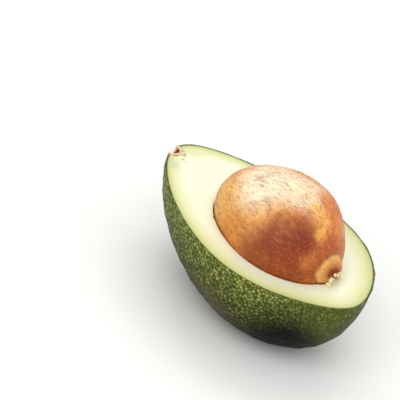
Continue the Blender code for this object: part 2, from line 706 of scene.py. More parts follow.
@dataclass(frozen=True)
class SeedCoat(Finish):
    """The thin papery coat of an avocado seed: tan to red-brown, veined, with a silky moist gloss.

    Its places are in the seed's own frame, in which it is turned about the X axis. The middle, the lean and
    the scar's radius are the seed's. Each stray is a noise's lump size and how far it pushes the colours'
    edges.
    """

    name: str = "veined_seed_coat"
    middle: tuple[float, float, float] = (0.0, 0.0, 0.0)
    lean: tuple[float, float, float] = (0.0, 0.0, 0.0)
    scar_radius: float = 0.0
    tan: str = "#E8AA62"
    amber: str = "#D68A42"
    # the darker red-brown: painted shade low on the seed, and also the coat's own mottling
    shade: str = "#B5602A"
    vein: str = "#8A3E14"
    patches: tuple[Patch, ...] = ()
    patch_strays: tuple[tuple[float, float], ...] = ((4 * MM, 1.6 * MM), (1.2 * MM, 0.8 * MM))
    mottle_size: float = 5 * MM
    web_size: float = 4.5 * MM
    streak_size: float = 0.8 * MM
    streak_stretch: float = 0.08  # how wide a wrinkle is for its length
    streak_stray: tuple[float, float] = (7 * MM, 2.2 * MM)
    pore_size: float = 0.5 * MM
    wrinkle_depth: float = 0.22 * MM
    # the heights in the seed's frame over which the coat is painted darker towards its bottom, partly painted
    # shade
    lit_top_height: float = 10 * MM
    shaded_bottom_height: float = -6 * MM
    scar_pit: str = "#742A16"
    scar_heart: str = "#8A3A20"
    scar_slope: str = "#B87440"
    scar_ring: str = "#D88E42"
    scar_gold: str = "#E8AE60"
    scar_edge: str = "#96481E"
    scar_grey: str = "#A9713C"
    scar_grain: float = 1.4 * MM
    scar_strays: tuple[tuple[float, float], ...] = ((1.2 * MM, 0.35 * MM), (2.5 * MM, 0.6 * MM))

    def build(self) -> bpy.types.Material:
        """Makes the material.

        Returns:
            The material, ready to be given to a piece.
        """
        material, tree, shader = self.start()
        place = add(
            tree,
            "ShaderNodeMapping",
            {
                "Vector": add(tree, "ShaderNodeTexCoord").outputs["Object"],
                "Location": self.middle,
                "Rotation": self.lean,
            },
            vector_type="TEXTURE",
        ).outputs[0]
        axes = add(tree, "ShaderNodeSeparateXYZ", {0: place})
        mottle = add(
            tree,
            "ShaderNodeTexNoise",
            {
                "Vector": place,
                "Scale": 1 / self.mottle_size,
                "Detail": 5.0,
                "Roughness": 0.65,
                "Distortion": 0.6,
            },
        ).outputs["Fac"]
        colour = add(
            tree,
            "ShaderNodeValToRGB",
            {0: mottle},
            stops=((0.35, self.tan), (0.65, self.amber)),
        ).outputs[0]
        # Painted shade: the coat turns towards the shade colour from its top to its bottom, partly its own
        # red-brown and partly painted shade.
        low = add(
            tree,
            "ShaderNodeMapRange",
            {
                "Value": axes.outputs["Z"],
                "From Min": self.lit_top_height,
                "From Max": self.shaded_bottom_height,
                "To Max": 0.8,
            },
        ).outputs[0]
        colour = mix(tree, low, colour, self.shade)
        strayed = place
        for size, reach in self.patch_strays:
            strayed = stray(tree, strayed, size, reach)
        for patch in self.patches:
            colour = patch.paint(tree, strayed, colour)
        darker = add(
            tree,
            "ShaderNodeMapRange",
            {"Value": mottle, "From Min": 0.50, "From Max": 0.70, "To Max": 0.45},
        ).outputs[0]
        colour = mix(tree, darker, colour, self.shade)
        web, streaks = self.web(tree, place), self.streaks(tree, place)
        fade = add(
            tree,
            "ShaderNodeMapRange",
            {"Value": mottle, "From Min": 0.38, "From Max": 0.62, "To Min": 0.06, "To Max": 0.32},
        ).outputs[0]
        veined = add(tree, "ShaderNodeMath", {0: web, 1: fade}, operation="MULTIPLY").outputs[0]
        colour = mix(tree, veined, colour, self.vein)
        streaked = add(
            tree,
            "ShaderNodeMapRange",
            {"Value": streaks, "From Min": 0.50, "From Max": 0.68, "To Max": 0.5},
        ).outputs[0]
        colour = mix(tree, streaked, colour, self.vein)
        pale = add(
            tree,
            "ShaderNodeMapRange",
            {"Value": streaks, "From Min": 0.47, "From Max": 0.30, "To Max": 0.22},
        ).outputs[0]
        colour = mix(tree, pale, colour, self.tan)
        colour = self.scar(tree, place, axes, colour)
        tree.links.new(colour, shader.inputs["Base Color"])
        rough = add(
            tree,
            "ShaderNodeMapRange",
            {"Value": mottle, "From Min": 0.3, "From Max": 0.7, "To Min": 0.36, "To Max": 0.5},
        ).outputs[0]
        tree.links.new(rough, shader.inputs["Roughness"])
        shader.inputs["Specular IOR Level"].default_value = 0.25
        shader.inputs["Coat Weight"].default_value = 0.08
        shader.inputs["Coat Roughness"].default_value = 0.35
        fine = add(
            tree,
            "ShaderNodeTexNoise",
            {"Vector": place, "Scale": 1 / self.pore_size, "Detail": 3.0},
        ).outputs["Fac"]
        relief = web
        for pattern, share in ((fine, 0.5), (streaks, 0.8)):
            relief = add(
                tree,
                "ShaderNodeMath",
                {0: pattern, 1: share, 2: relief},
                operation="MULTIPLY_ADD",
            ).outputs[0]
        bump = add(
            tree,
            "ShaderNodeBump",
            {"Height": relief, "Strength": 0.6, "Distance": self.wrinkle_depth},
        )
        tree.links.new(bump.outputs[0], shader.inputs["Normal"])
        return material

    def web(self, tree: bpy.types.NodeTree, place: bpy.types.NodeSocket) -> bpy.types.NodeSocket:
        """Draws the net of fine veins, which are the contour lines of two noises.

        Args:
            tree: the node tree.
            place: coordinates in the seed's own frame.

        Returns:
            An output that is 1 on a vein and 0 between.
        """
        longer = add(tree, "ShaderNodeMapping", {"Vector": place, "Scale": (0.45, 1.0, 1.0)}).outputs[0]
        lines = []
        for share, width in ((1.0, 0.022), (0.6, 0.030)):
            wave = add(
                tree,
                "ShaderNodeTexNoise",
                {
                    "Vector": longer,
                    "Scale": 1 / (share * self.web_size),
                    "Detail": 3.0,
                    "Distortion": 1.0,
                },
            ).outputs["Fac"]
            off = add(tree, "ShaderNodeMath", {0: wave, 1: 0.5}, operation="SUBTRACT").outputs[0]
            off = add(tree, "ShaderNodeMath", {0: off}, operation="ABSOLUTE").outputs[0]
            line = add(tree, "ShaderNodeMapRange", {"Value": off, "From Min": width, "From Max": 0.0})
            lines.append(line.outputs[0])
        return add(tree, "ShaderNodeMath", {0: lines[0], 1: lines[1]}, operation="MAXIMUM").outputs[0]

    def streaks(self, tree: bpy.types.NodeTree, place: bpy.types.NodeSocket) -> bpy.types.NodeSocket:
        """Draws the wrinkles that run from the stem side to the scar.

        Args:
            tree: the node tree.
            place: coordinates in the seed's own frame.

        Returns:
            An output that is high in a wrinkle and low between.
        """
        strayed = stray(tree, place, *self.streak_stray)
        across = 1 / self.streak_size
        longer = add(
            tree,
            "ShaderNodeMapping",
            {"Vector": strayed, "Scale": (self.streak_stretch * across, across, across)},
        ).outputs[0]
        return add(
            tree,
            "ShaderNodeTexNoise",
            {"Vector": longer, "Scale": 1.0, "Detail": 4.0, "Roughness": 0.6},
        ).outputs["Fac"]

    def scar(
        self,
        tree: bpy.types.NodeTree,
        place: bpy.types.NodeSocket,
        axes: bpy.types.Node,
        ground: bpy.types.NodeSocket,
    ) -> bpy.types.NodeSocket:
        """Paints the scar: a golden ring with a dark edge round a red-brown heart.

        Args:
            tree: the node tree.
            place: coordinates in the seed's own frame.
            axes: the same, split.
            ground: the coat's colour.

        Returns:
            The new colour.
        """
        across = add(
            tree,
            "ShaderNodeVectorMath",
            {0: place, 1: (0.0, 1.0, 1.0)},
            operation="MULTIPLY",
        ).outputs[0]
        ragged = across
        for size, reach in self.scar_strays:
            ragged = stray(tree, ragged, size, reach)
        radius = add(tree, "ShaderNodeVectorMath", {0: ragged}, operation="LENGTH").outputs["Value"]
        share = add(
            tree,
            "ShaderNodeMapRange",
            {"Value": radius, "From Max": self.scar_radius * 1.12},
        ).outputs[0]
        rings = add(
            tree,
            "ShaderNodeValToRGB",
            {0: share},
            stops=(
                (0.10, self.scar_pit),
                (1.0, self.scar_edge),
                (0.27, self.scar_heart),
                (0.38, self.scar_slope),
                (0.50, self.scar_ring),
                (0.76, self.scar_gold),
                (0.92, self.scar_edge),
            ),
        ).outputs[0]
        grain = add(
            tree,
            "ShaderNodeTexNoise",
            {"Vector": across, "Scale": 1 / self.scar_grain, "Detail": 4.0, "Distortion": 1.5},
        ).outputs["Fac"]
        grain = add(
            tree,
            "ShaderNodeMapRange",
            {"Value": grain, "From Min": 0.52, "From Max": 0.7, "To Max": 0.55},
        ).outputs[0]
        rings = mix(tree, grain, rings, self.scar_grey)
        inside = add(
            tree,
            "ShaderNodeMapRange",
            {
                "Value": radius,
                "From Min": self.scar_radius * 1.06,
                "From Max": self.scar_radius * 0.96,
            },
        ).outputs[0]
        ahead = add(
            tree,
            "ShaderNodeMath",
            {0: axes.outputs["X"], 1: 0.0},
            operation="GREATER_THAN",
        ).outputs[0]
        inside = add(tree, "ShaderNodeMath", {0: inside, 1: ahead}, operation="MULTIPLY").outputs[0]
        return mix(tree, inside, ground, rings)


@dataclass(frozen=True)
class TornCork(Finish):
    """Dry cork torn at the stem: pale pinkish lips over a brown fibrous heart, with no gloss."""

    name: str = "torn_stem_cork"
    pale: str = "#E9D2B4"
    pink: str = "#BC7E60"
    brown: str = "#4E2A18"
    fibre_size: float = 0.8 * MM
    fibre_depth: float = 0.2 * MM

    def build(self) -> bpy.types.Material:
        """Makes the material.

        Returns:
            The material, ready to be given to a piece.
        """
        material, tree, shader = self.start()
        place = add(tree, "ShaderNodeTexCoord").outputs["Object"]
        fibre = add(
            tree,
            "ShaderNodeTexNoise",
            {"Vector": place, "Scale": 1 / self.fibre_size, "Detail": 4.0, "Distortion": 0.8},
        ).outputs["Fac"]
        lip = add(tree, "ShaderNodeAttribute", attribute_name="lip").outputs["Fac"]
        lip = add(tree, "ShaderNodeMath", {0: lip, 1: 0.65}, operation="MULTIPLY").outputs[0]
        level = add(tree, "ShaderNodeMath", {0: fibre, 1: 0.6, 2: lip}, operation="MULTIPLY_ADD").outputs[0]
        colour = add(
            tree,
            "ShaderNodeValToRGB",
            {0: level},
            stops=((0.45, self.brown), (1.0, self.pale), (0.8, self.pink)),
        ).outputs[0]
        tree.links.new(colour, shader.inputs["Base Color"])
        shader.inputs["Roughness"].default_value = 0.8
        shader.inputs["Specular IOR Level"].default_value = 0.2
        bump = add(
            tree,
            "ShaderNodeBump",
            {"Height": fibre, "Strength": 0.5, "Distance": self.fibre_depth},
        )
        tree.links.new(bump.outputs[0], shader.inputs["Normal"])
        return material


# ----------------------------------------------------------------------------------------------- shapes


@dataclass(frozen=True)
class Outline:
    """Half of a turned shape's outline, from the stem end to the blossom end.

    It is kept as a chain of points with their distance along the chain, so that any share of that
    distance gives a place along the axis and a radius.
    """

    chain: np.ndarray

    @staticmethod
    def egg(length: float, width: float, bluntness: float, fullness: tuple[float, ...]) -> np.ndarray:
        """Makes the outline of an egg or a pear.

        Args:
            length: along the axis.
            width: at the widest place.
            bluntness: 0.5 for a round stem end, less for a flatter one.
            fullness: how full the shape is, from the stem end to the blossom end.

        Returns:
            Rows of the place along the axis, from 0 to length, and the radius.
        """
        steps = 1500
        share = (1 - np.cos(np.linspace(0, math.pi, steps))) / 2
        order = len(fullness) - 1
        blend = sum(
            weight * math.comb(order, i) * share**i * (1 - share) ** (order - i)
            for i, weight in enumerate(fullness)
        )
        radius = share**bluntness * np.sqrt(1 - share) * blend
        return np.stack([length * share, width / 2 * radius / radius.max()], axis=1)

    def at(self, share: np.ndarray) -> tuple[np.ndarray, np.ndarray]:
        """Gives the place and the radius at each share of the outline's run.

        Args:
            share: numbers from 0, the stem end, to 1, the blossom end.

        Returns:
            The places along the axis and the radii.
        """
        steps = np.linalg.norm(np.diff(self.chain, axis=0), axis=1)
        run = np.concatenate([[0.0], np.cumsum(steps)])
        run /= run[-1]
        return np.interp(share, run, self.chain[:, 0]), np.interp(share, run, self.chain[:, 1])

    def radius_at(self, place: np.ndarray) -> np.ndarray:
        """Gives the radius at each place along the axis, for an outline that never turns back."""
        return np.interp(place, self.chain[:, 0], self.chain[:, 1])

    def shifted(self, distance: float) -> Outline:
        """Makes the outline of a second skin.

        Args:
            distance: how far it lies outside this one; a negative number is inside.

        Returns:
            The second outline, cut off where it would pass its own axis.
        """
        along = np.gradient(self.chain, axis=0)
        along /= np.maximum(np.linalg.norm(along, axis=1), 1e-12)[:, None]
        moved = self.chain + distance * np.stack([-along[:, 1], along[:, 0]], axis=1)
        moved[0, 1] = moved[-1, 1] = 0.0
        return Outline(moved[moved[:, 1] >= 0.0])

    def wrap(self, ball: bpy.types.Object, middle_height: float = 0.0) -> None:
        """Shapes a unit ball, or half of one, to this outline turned about a line along X.

        Args:
            ball: the mesh object, whose points are directions from its middle.
            middle_height: the height of the turning axis.
        """
        direction = points_of(ball)
        share = np.arccos(np.clip(-direction[:, 0], -1, 1)) / math.pi
        place, radius = self.at(share)
        spread = np.maximum(np.linalg.norm(direction[:, 1:], axis=1), 1e-9)
        y = radius * direction[:, 1] / spread
        z = radius * direction[:, 2] / spread + middle_height
        move_points(ball, np.stack([place, y, z], axis=1))


@dataclass
class Pores:
    """The peel's corky pores, scattered evenly over it, each on a low dome.

    Each pore keeps its distance from the others. Spacing and size grow towards the belly, and the blossom
    end has fewer and flatter ones.
    """

    near_spacing: float = 1.25 * MM
    far_spacing: float = 1.75 * MM
    least_spread: float = 0.8
    most_spread: float = 1.15
    smallest: float = 0.38 * MM
    largest: float = 0.80 * MM
    dome_height: float = 0.20 * MM
    calm_near: float = 4 * MM  # how far from the blossom end the domes are lowest
    calm_far: float = 16 * MM  # how far from it they have their full height
    edge: Relief = Relief(0.3, 0.7 * MM, 2.0)  # a share of the pore's size
    seed: int = 7
    places: list[np.ndarray] = field(default_factory=list)

    def scatter(self, surface: np.ndarray, top: float) -> None:
        """Picks the pores' places from the points of the surface.

        Args:
            surface: the peel's outer points.
            top: the height of the cut face.
        """
        random = np.random.default_rng(self.seed)
        cell = self.far_spacing * self.most_spread
        taken: dict[tuple[int, int, int], list[np.ndarray]] = {}
        depth = np.clip((top - surface[:, 2]) / top, 0, 1)
        spacing = self.near_spacing + (self.far_spacing - self.near_spacing) * depth
        spacing = spacing * random.uniform(self.least_spread, self.most_spread, len(surface))
        for i in random.permutation(len(surface)):
            point = surface[i]
            home = tuple(int(v) for v in np.floor(point / cell))
            near = [
                other
                for dx in (-1, 0, 1)
                for dy in (-1, 0, 1)
                for dz in (-1, 0, 1)
                for other in taken.get((home[0] + dx, home[1] + dy, home[2] + dz), ())
            ]
            if near and np.min(np.sum((np.array(near) - point) ** 2, axis=1)) < spacing[i] ** 2:
                continue
            taken.setdefault(home, []).append(point)
            self.places.append(point)

    def heights(self, surface: np.ndarray, top: float, blossom: float) -> tuple[np.ndarray, np.ndarray]:
        """Works out the domes and the pores' marks.

        Args:
            surface: the peel's outer points.
            top: the height of the cut face.
            blossom: the blossom end's place along X.

        Returns:
            How far each point is raised, and how strongly it shows the pore's colour, from 0 to 1.
        """
        random = np.random.default_rng(self.seed + 1)
        sizes = random.uniform(self.smallest, self.largest, len(self.places))
        strengths = random.uniform(0.35, 1.0, len(self.places))
        tree = kdtree.KDTree(len(self.places))
        for i, place in enumerate(self.places):
            tree.insert(place, i)
        tree.balance()
        found = [tree.find(point) for point in surface]
        index = np.array([hit[1] for hit in found])
        distance = np.array([hit[2] for hit in found])
        depth = np.clip((top - surface[:, 2]) / top, 0, 1)
        size = sizes[index] * (1.0 + 0.35 * depth) * (1 + self.edge.over(surface))
        full = smooth_step(surface[:, 0], blossom - self.calm_near, blossom - self.calm_far)
        dome = np.clip(1 - (distance / (1.5 * size)) ** 2, 0, 1)
        raised = self.dome_height * dome * (0.35 + 0.65 * full) * strengths[index]
        mark = smooth_step(distance / size, 1.0, 0.35) * strengths[index] * (0.3 + 0.7 * full)
        return raised, mark


@dataclass
class Fruit:
    """Skin and flesh of the half, which lies on its back with the cut face level.

    Towards the blossom end the belly hangs deeper than a plain turned shape. The pit is what the stem left,
    and the nick is a small mark in the cut face.
    """

    length: float = 100 * MM
    width: float = 69 * MM
    bluntness: float = 0.42
    fullness: tuple[float, ...] = (0.36, 0.57, 0.57, 0.70, 0.82, 0.55)
    belly_fullness: float = 0.60
    belly_onset: float = 7.0
    peel: float = 0.55 * MM
    peel_waves: tuple[Relief, ...] = (Relief(0.22 * MM, 6 * MM), Relief(0.10 * MM, 2.6 * MM, 5.0))
    pit_radius: float = 3.8 * MM
    pit_depth: float = 3.4 * MM
    pit_sideshift: float = -5.0 * MM
    pit_sunk: float = 0.7 * MM
    pit_turn: float = 20.0
    pit_waves: Relief = Relief(0.10, 2.2 * MM, 4.0)  # a share of the pit's size
    flesh_gap: float = 0.02 * MM
    floor_gap: float = 0.05 * MM
    face_middle: tuple[float, float] = (6.0 * MM, -1.5 * MM)
    face_waves: tuple[Relief, ...] = (Relief(0.07 * MM, 7 * MM, 3.0), Relief(0.025 * MM, 1.5 * MM))
    face_edge: float = 0.5 * MM  # how far below the cut face its waves fade out
    lip_roundness: float = 0.4 * MM
    nick: tuple[float, float] = (-9.7 * MM, -17.0 * MM)
    nick_depth: float = 0.7 * MM
    nick_core: float = 0.2 * MM
    nick_reach: float = 1.3 * MM
    coarse: int = 42
    fine: int = 4
    around: int = 420
    blossom_x: float = field(init=False)
    stem_x: float = field(init=False)
    cut_z: float = field(init=False)
    outline: Outline = field(init=False)

    def __post_init__(self) -> None:
        """Takes the place of the fruit from the frame."""
        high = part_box("fruit_half")[1]
        self.blossom_x = high[0]
        self.cut_z = high[2]
        self.stem_x = self.blossom_x - self.length
        chain = Outline.egg(self.length, self.width, self.bluntness, self.fullness)
        chain[:, 0] += self.stem_x
        self.outline = Outline(chain)

    def belly(self, place: np.ndarray) -> np.ndarray:
        """Gives how many times deeper than wide the half is at each place along X."""
        share = np.clip((place - self.stem_x) / self.length, 0.0, 1.0)
        return 1 + self.belly_fullness * share**self.belly_onset

    def shell(self, name: str, outline: Outline, split: int) -> bpy.types.Object:
        """Makes an open bowl that follows an outline, with its rim on the cut face.

        Args:
            name: the object's name.
            outline: what the bowl follows.
            split: into how many each coarse quad is split.

        Returns:
            The bowl.
        """
        bowl = quad_ball(name, self.coarse, split, half=True)
        outline.wrap(bowl, self.cut_z)
        points = points_of(bowl)
        points[:, 2] = self.cut_z + (points[:, 2] - self.cut_z) * self.belly(points[:, 0])
        move_points(bowl, points)
        return bowl

    def pit_place(self) -> Matrix:
        """Finds where the stem pit is.

        Returns:
            The turn and the move from a pit that opens at the origin.
        """
        stem_half = self.outline.chain[: self.outline.chain[:, 1].argmax()]
        mouth_x = np.interp(abs(self.pit_sideshift), stem_half[:, 1], stem_half[:, 0]) + self.pit_sunk
        turn = Matrix.Rotation(math.radians(self.pit_turn), 4, "Z")
        return Matrix.Translation((mouth_x, self.pit_sideshift, self.cut_z)) @ turn

    def pit_cutter(self) -> bpy.types.Object:
        """Makes the shape that the stem left: an egg that is a little uneven.

        Returns:
            The closed shape, in its place.
        """
        deselect()
        bpy.ops.mesh.primitive_uv_sphere_add(segments=48, ring_count=24, radius=1.0)
        cutter = bpy.context.object
        bpy.ops.object.mode_set(mode="EDIT")
        bpy.ops.mesh.select_all(action="SELECT")
        bpy.ops.transform.resize(value=(self.pit_depth, self.pit_radius, self.pit_radius))
        bpy.ops.object.mode_set(mode="OBJECT")
        points = points_of(cutter)
        points *= 1 + self.pit_waves.over(points)[:, None]
        move_points(cutter, points)
        cutter.data.transform(self.pit_place())
        return cutter

    def make_peel(self, pores: Pores) -> bpy.types.Object:
        """Models the peel: a thin closed shell with domed pores outside and a smooth inside.

        Args:
            pores: the pores that it carries.

        Returns:
            The peel.
        """
        outside = self.shell("outside", self.outline, self.fine)
        inside = self.shell("inside", self.outline.shifted(-self.peel), 1)
        outer_count = len(outside.data.vertices)
        peel = join("peel", outside, inside)
        close_rims(peel, outer_count)
        subtract(peel, self.pit_cutter())
        points = points_of(peel)
        offset = points - np.array([0.0, 0.0, self.cut_z])
        offset[:, 2] /= self.belly(points[:, 0])
        radius = np.linalg.norm(offset[:, 1:], axis=1)
        tolerance = 0.05 * MM
        outer = self.outline.radius_at(points[:, 0]) - radius < tolerance
        surface = points[outer]
        pores.scatter(surface, self.cut_z)
        raised, mark = pores.heights(surface, self.cut_z, self.blossom_x)
        raised += sum(wave.over(surface) for wave in self.peel_waves)
        normals = np.array([vertex.normal for vertex in peel.data.vertices])[outer]
        on_rim = np.abs(surface[:, 2] - self.cut_z) < 1e-5
        normals[on_rim, 2] = 0.0
        normals /= np.maximum(np.linalg.norm(normals, axis=1), 1e-9)[:, None]
        points[outer] = surface + normals * raised[:, None]
        marks = np.zeros(len(points))
        marks[outer] = mark
        points[outer, 2] = np.maximum(points[outer, 2], 0.0)
        points[~outer, 2] = np.maximum(points[~outer, 2], self.peel)
        move_points(peel, points)
        store(peel, "pore", marks)
        shade(peel, 50)
        return peel

    def make_flesh(self, seed: Seed) -> bpy.types.Object:
        """Models the flesh: the cut face, the lip and the hollow under the seed, and the side under the peel.

        Args:
            seed: what the hollow is shaped by.

        Returns:
            The flesh.
        """
        around, centre = self.around, np.array(self.face_middle)
        edge = self.outline.shifted(-self.peel - self.flesh_gap)
        edge_points = self.face_curve(edge, around)
        angle = np.arctan2(edge_points[:, 1] - centre[1], edge_points[:, 0] - centre[0])
        lip_points = seed.opening(angle, centre, self.cut_z)
        span = np.linalg.norm(edge_points - lip_points, axis=1)
        # The rows lie close together by the peel and by the lip, where colour and height change fast.
        near_peel = np.array([0.0, 0.15, 0.35, 0.6, 0.9, 1.3, 1.8, 2.5, 3.4]) * MM
        near_lip = np.array([2.4, 1.6, 1.0, 0.6, 0.35, 0.15, 0.0]) * MM
        between = span - near_lip[0] - near_peel[-1]
        rings = [(np.full(around, near), 0.0) for near in near_peel]
        rings += [(near_peel[-1] + between * share, 0.0) for share in np.linspace(0, 1, 14)[1:-1]]
        rings += [(span - left, self.lip_drop(left)) for left in near_lip]
        layers, from_peel, from_seed = [], [], []
        for depth in np.linspace(0.0, math.pi / 2, 10)[::-1][:-1]:
            layers.append(self.under_peel(edge_points, depth))
            from_peel.append(np.zeros(around))
            from_seed.append(np.full(around, FAR))
        direction = (lip_points - edge_points) / span[:, None]
        for run, drop in rings:
            flat = edge_points + direction * run[:, None]
            layers.append(np.column_stack([flat, np.full(around, self.cut_z - drop)]))
            from_peel.append(run)
            from_seed.append(span - run)
        bowl_centre = lip_points.mean(axis=0)
        for depth in np.linspace(0.0, math.pi / 2, 12)[1:]:
            flat = bowl_centre + (lip_points - bowl_centre) * math.cos(depth)
            down = self.lip_drop(0.0) + seed.depth_below(self.cut_z) * math.sin(depth)
            layers.append(np.column_stack([flat, np.full(around, self.cut_z - down)]))
            from_peel.append(np.full(around, FAR))
            from_seed.append(np.zeros(around))
        return self.skin_over("flesh", np.array(layers), np.array(from_peel), np.array(from_seed))

    def lip_drop(self, left: float) -> float:
        """How far the lip of the hollow is rounded down, this far before its edge."""
        return self.lip_roundness * max(0.0, 1 - left / self.lip_roundness) ** 2

    def face_curve(self, outline: Outline, count: int) -> np.ndarray:
        """Places points evenly along an outline on the cut face.

        Args:
            outline: the turned outline.
            count: how many points.

        Returns:
            Rows of x and y, anticlockwise from the blossom end.
        """
        one_side = outline.chain[::-1]
        other = outline.chain[1:] * np.array([1.0, -1.0])
        closed = np.concatenate([one_side, other])
        run = np.concatenate([[0.0], np.cumsum(np.linalg.norm(np.diff(closed, axis=0), axis=1))])
        wanted = np.linspace(0, run[-1], count, endpoint=False)
        return np.column_stack([np.interp(wanted, run, closed[:, i]) for i in (0, 1)])

    def under_peel(self, rim: np.ndarray, depth: float) -> np.ndarray:
        """Turns the rim down round the fruit's axis, to a layer under the peel.

        Args:
            rim: the edge of the cut face.
            depth: the angle, from 0 at the cut face to a right angle at the lowest line.

        Returns:
            Rows of x, y, z.
        """
        y = rim[:, 1] * math.cos(depth)
        z = self.cut_z - np.abs(rim[:, 1]) * math.sin(depth) * self.belly(rim[:, 0])
        return np.column_stack([rim[:, 0], y, np.maximum(z, self.peel + self.floor_gap)])

    def skin_over(
        self, name: str, layers: np.ndarray, from_peel: np.ndarray, from_seed: np.ndarray
    ) -> bpy.types.Object:
        """Makes one closed mesh from layers of points, and keeps their distances for the material.

        Args:
            name: the object's name.
            layers: rings of points from the lowest line, over the cut face, to the hollow's bottom.
            from_peel: the distance of each point from the peel.
            from_seed: the distance of each point from the hollow.

        Returns:
            The mesh object.
        """
        rings, around = layers.shape[:2]
        deselect()
        bpy.ops.mesh.primitive_grid_add(x_subdivisions=around, y_subdivisions=rings - 1, size=1.0)
        flesh = bpy.context.object
        flesh.name = name
        grid = points_of(flesh)
        column = np.rint((grid[:, 0] + 0.5) * around).astype(int) % around
        row = np.rint((grid[:, 1] + 0.5) * (rings - 1)).astype(int)
        move_points(flesh, layers[row, column])
        store(flesh, "from_peel", from_peel[row, column])
        store(flesh, "from_seed", from_seed[row, column])
        merge_doubles(flesh, 2e-6)
        turn_outwards(flesh)
        points = points_of(flesh)
        on_face = smooth_step(points[:, 2], self.cut_z - self.face_edge, self.cut_z)
        points[:, 2] += on_face * sum(wave.over(points) for wave in self.face_waves)
        from_nick = np.linalg.norm(points - np.array([*self.nick, self.cut_z]), axis=1)
        points[:, 2] -= self.nick_depth * smooth_step(from_nick, self.nick_reach, self.nick_core)
        move_points(flesh, points)
        return flesh


@dataclass
class Seed:
    """The seed: an egg with a low round scar at its blossom end, proud of the cut face.

    Its shoulder is dented beside the scar, and a short crease runs over its front. Both have their places in
    the seed's own frame. The nipple in the scar's middle leans to one side.
    """

    length: float = 54.0 * MM
    width: float = 42.0 * MM
    height: float = 44.6 * MM
    fullness: tuple[float, ...] = (0.41, 0.45, 0.53, 0.50)
    from_stem_end: float = 56.4 * MM
    sideshift: float = -2.5 * MM
    rise: float = 5.0 * MM
    turn: float = 3.0
    pitch: float = 2.0
    scar_radius: float = 6.5 * MM
    scar_height: float = 2.1 * MM
    scar_groove: float = 0.25 * MM
    nipple_radius: float = 3.2 * MM
    nipple_height: float = 1.4 * MM
    nipple_lean: tuple[float, float, float] = (0.7 * MM, 1.6 * MM, 0.2 * MM)
    nipple_waves: Relief = Relief(0.5 * MM, 1.3 * MM, 6.0)
    gap: float = 0.12 * MM
    waves: tuple[Relief, ...] = (Relief(0.22 * MM, 11 * MM, 2.0), Relief(0.06 * MM, 2.2 * MM, 9.0))
    dent: tuple[float, float, float] = (23.0 * MM, 8.0 * MM, 12.0 * MM)
    dent_depth: float = 0.8 * MM
    dent_core: float = 3 * MM
    dent_reach: float = 15 * MM
    crease_path: tuple[tuple[float, float, float], ...] = (
        (7.9 * MM, -17.2 * MM, 12.0 * MM),
        (9.7 * MM, -15.2 * MM, 14.3 * MM),
        (12.2 * MM, -13.2 * MM, 15.5 * MM),
        (14.8 * MM, -11.4 * MM, 15.6 * MM),
        (16.6 * MM, -10.7 * MM, 15.1 * MM),
    )
    crease_depth: float = 0.28 * MM
    crease_width: float = 0.45 * MM
    ridge_height: float = 0.16 * MM
    ridge_width: float = 0.6 * MM
    ridge_place: float = 1.0 * MM  # how far the ridge lies above the crease
    middle: Vector = field(init=False)

    def place(self, fruit: Fruit) -> None:
        """Finds the seed's middle in the fruit.

        Args:
            fruit: what it lies in.
        """
        self.middle = Vector((fruit.stem_x + self.from_stem_end, self.sideshift, fruit.cut_z + self.rise))

    def outline(self, grow: float = 0.0) -> Outline:
        """Makes the seed's outline about its own middle.

        Args:
            grow: how much larger it is all round.

        Returns:
            The outline, with the scar's button.
        """
        egg = Outline.egg(1.0, self.width, 0.5, self.fullness)
        widest = egg[:, 1].argmax()
        kept = (np.arange(len(egg)) < widest) | (egg[:, 1] > self.scar_radius * 1.03)
        egg = egg[kept]
        egg[:, 0] = (egg[:, 0] / egg[-1, 0] - 0.5) * self.length
        end = self.length / 2
        button = [
            (end + 0.10 * MM, self.scar_radius - self.scar_groove),
            (end + 0.45 * MM, self.scar_radius * 0.95),
            (end + self.scar_height * 0.75, self.scar_radius * 0.74),
            (end + self.scar_height, self.nipple_radius),
            (end + self.scar_height + self.nipple_height * 0.55, self.nipple_radius * 0.66),
            (end + self.scar_height + self.nipple_height * 0.95, self.nipple_radius * 0.25),
            (end + self.scar_height + self.nipple_height, 0.0),
        ]
        chain = np.concatenate([egg, np.array(button)])
        chain[:, 0] *= 1 + 2 * grow / self.length
        chain[:, 1] *= 1 + 2 * grow / self.width
        return Outline(chain)

    def lie(self) -> Matrix:
        """Works out how the seed lies.

        Returns:
            The stretch, the turn, the pitch and the move that put it in its place.
        """
        taller = Matrix.Diagonal((1, 1, self.height / self.width, 1))
        turned = Euler((0.0, -math.radians(self.pitch), 0.0)).to_matrix().to_4x4()
        turned = turned @ Euler((0.0, 0.0, math.radians(self.turn))).to_matrix().to_4x4()
        return Matrix.Translation(self.middle) @ turned @ taller

    def opening(self, angle: np.ndarray, centre: np.ndarray, height: float) -> np.ndarray:
        """Finds where the hollow meets the cut face.

        Args:
            angle: the directions that are wanted, from the centre.
            centre: x and y of the point that the opening goes round.
            height: the height of the cut face.

        Returns:
            Rows of x and y, one for each direction.
        """
        place, radius = self.outline(self.gap).at(np.linspace(0, 1, 600))
        around = np.linspace(-math.pi, math.pi, 721)
        x = np.repeat(place[:, None], len(around), axis=1)
        y = radius[:, None] * np.cos(around)
        z = radius[:, None] * np.sin(around)
        points = np.stack([x, y, z, np.ones_like(x)], axis=-1) @ np.array(self.lie()).T
        above = points[:, :-1, 2] - height
        below = points[:, 1:, 2] - height
        ring, step = np.nonzero(above * below < 0)
        share = above[ring, step] / (above[ring, step] - below[ring, step])
        first, second = points[ring, step, :2], points[ring, step + 1, :2]
        curve = first + (second - first) * share[:, None] - centre
        turn = np.arctan2(curve[:, 1], curve[:, 0])
        order = turn.argsort()
        reach = np.interp(angle, turn[order], np.linalg.norm(curve[order], axis=1), period=2 * math.pi)
        return centre + np.column_stack([np.cos(angle), np.sin(angle)]) * reach[:, None]

    def depth_below(self, height: float) -> float:
        """How far the hollow goes below a height."""
        return height - (self.middle.z - self.height / 2) + self.gap

